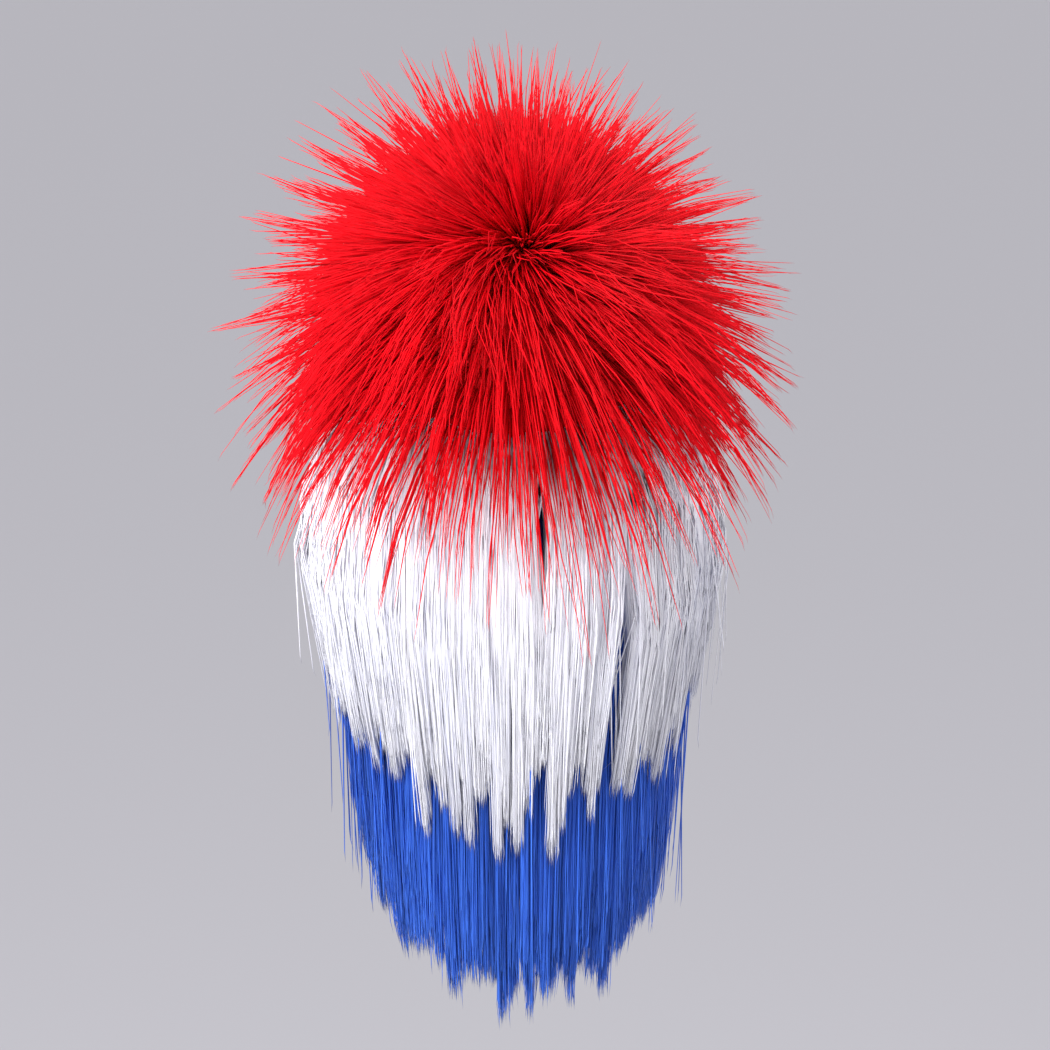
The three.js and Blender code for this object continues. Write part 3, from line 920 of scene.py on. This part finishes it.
def woven_material(name, ground, thread, directions, spacing, roughness):
    """Cloth whose threads stand out from a darker ground."""
    material, shader = new_material(name, roughness, specular=0.3)
    tree = material.node_tree
    height = threads(tree, directions, spacing)
    colour = ramp(tree, height, [(GROUND_TO, ground), (THREAD_FROM, thread)])
    tree.links.new(colour, shader.inputs["Base Color"])
    bump = tree.nodes.new("ShaderNodeBump")
    bump.inputs["Strength"].default_value = THREAD_BUMP
    bump.inputs["Distance"].default_value = THREAD_HEIGHT * MM
    tree.links.new(height, bump.inputs["Height"])
    tree.links.new(bump.outputs["Normal"], shader.inputs["Normal"])
    return material


def plain_material(name, colour, roughness):
    material, shader = new_material(name, roughness, specular=0.2)
    shader.inputs["Base Color"].default_value = (*colour, 1)
    return material


def net_material():
    ground = (0.008, 0.008, 0.01)
    thread = (0.05, 0.05, 0.055)
    return woven_material("cap_net", ground, thread, "XYZ", NET_MESH, roughness=0.85)


def band_material():
    ground = (0.015, 0.015, 0.018)
    thread = (0.06, 0.06, 0.066)
    return woven_material("band", ground, thread, "Z", BAND_RIB, roughness=0.7)


RED_HAIR = hair_material("red_hair", RED_ROOT_SHADE_RAMP, RED_TONES, roughness=0.6, specular=0.12)
WHITE_HAIR = hair_material("white_hair", WHITE_ROOT_SHADE_RAMP, WHITE_TONES, roughness=0.4, specular=0.3)
BLUE_HAIR = hair_material("blue_hair", BLUE_ROOT_SHADE_RAMP, BLUE_TONES, roughness=0.36, specular=0.3)


# The pieces

def region(start, end, top, bottom):
    """A stretch of red hair, by azimuth in degrees and angle from the crown."""
    return {"from": start, "to": end, "top": top, "bottom": bottom}


RED_REGIONS = {
    "red_crown": region(-90, 270, at_crown, crown_bottom),
    "red_fringe": region(220, 320, crown_bottom, red_bottom),
    "red_back": region(40, 140, crown_bottom, red_bottom),
    "red_side_left": region(-40, 40, crown_bottom, red_bottom),
    "red_side_right": region(140, 220, crown_bottom, red_bottom),
}


def dress(node, parts, material):
    """Makes the piece that stands for a node."""
    piece = make_mesh(node + "_hair", parts, material)
    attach(piece, "root")
    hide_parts(node)


def wear(node, material):
    """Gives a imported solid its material."""
    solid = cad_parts[node]
    solid.data.materials.clear()
    solid.data.materials.append(material)


for number, (node, place) in enumerate(RED_REGIONS.items()):
    dress(node, [red_core(place), red_strands(place, RED_SEED + number)], RED_HAIR)
dress("white_tier", tier_parts(WHITE_TIER, WHITE_SEED), WHITE_HAIR)
dress("blue_tier", tier_parts(BLUE_TIER, BLUE_SEED), BLUE_HAIR)
wear("net_cap", net_material())
wear("edge_band", band_material())


# The stage, in metres

FLOOR_LEVEL = -3.0
FLOOR_HALF_SIZE = 30
FLOOR_COLOUR = (0.58, 0.57, 0.6)
WORLD_COLOUR = (0.8, 0.8, 0.83, 1)
CAMERA_TARGET = Vector((-0.0063, 0.0, -0.194))
CAMERA_DISTANCE = 1.7
CAMERA_ELEVATION = 18  # degrees
CAMERA_LENS = 102.3
SENSOR_WIDTH = 36
LIGHTS = [
    {"name": "key", "place": (2.2, 1.9, 1.2), "energy": 130, "size": 1.4},
    {"name": "fill", "place": (-2.2, 1.9, 0.6), "energy": 25, "size": 2.0},
    {"name": "top", "place": (0.1, -0.3, 2.4), "energy": 50, "size": 1.8},
]


def add_light(name, place, energy, size):
    light = bpy.data.lights.new(name, "AREA")
    light.energy = energy
    light.size = size
    lamp = bpy.data.objects.new(name, light)
    lamp.location = place
    lamp.rotation_mode = "QUATERNION"
    lamp.rotation_quaternion = (CAMERA_TARGET - Vector(place)).to_track_quat("-Z", "Y")
    bpy.context.scene.collection.objects.link(lamp)


def add_floor():
    mesh = bpy.data.meshes.new("floor")
    signs = ((-1, -1), (1, -1), (1, 1), (-1, 1))
    corners = [(x * FLOOR_HALF_SIZE, y * FLOOR_HALF_SIZE, FLOOR_LEVEL) for x, y in signs]
    mesh.from_pydata(corners, [], [(0, 1, 2, 3)])
    mesh.materials.append(plain_material("floor", FLOOR_COLOUR, 1.0))
    floor = bpy.data.objects.new("floor", mesh)
    bpy.context.scene.collection.objects.link(floor)


def set_world():
    world = bpy.data.worlds.new("studio")
    world.use_nodes = True
    background = world.node_tree.nodes["Background"]
    background.inputs["Color"].default_value = WORLD_COLOUR
    background.inputs["Strength"].default_value = 1.0
    bpy.context.scene.world = world


def add_camera():
    elevation = CAMERA_ELEVATION * RAD
    back = Vector((0, math.cos(elevation), math.sin(elevation)))
    camera = bpy.data.cameras.new("camera")
    camera.lens = CAMERA_LENS
    camera.sensor_width = SENSOR_WIDTH
    viewer = bpy.data.objects.new("camera", camera)
    viewer.location = CAMERA_TARGET + back * CAMERA_DISTANCE
    viewer.rotation_mode = "QUATERNION"
    viewer.rotation_quaternion = (-back).to_track_quat("-Z", "Y")
    bpy.context.scene.collection.objects.link(viewer)
    bpy.context.scene.camera = viewer


add_floor()
set_world()
for light in LIGHTS:
    add_light(**light)
add_camera()
bpy.context.scene.view_settings.view_transform = "Standard"
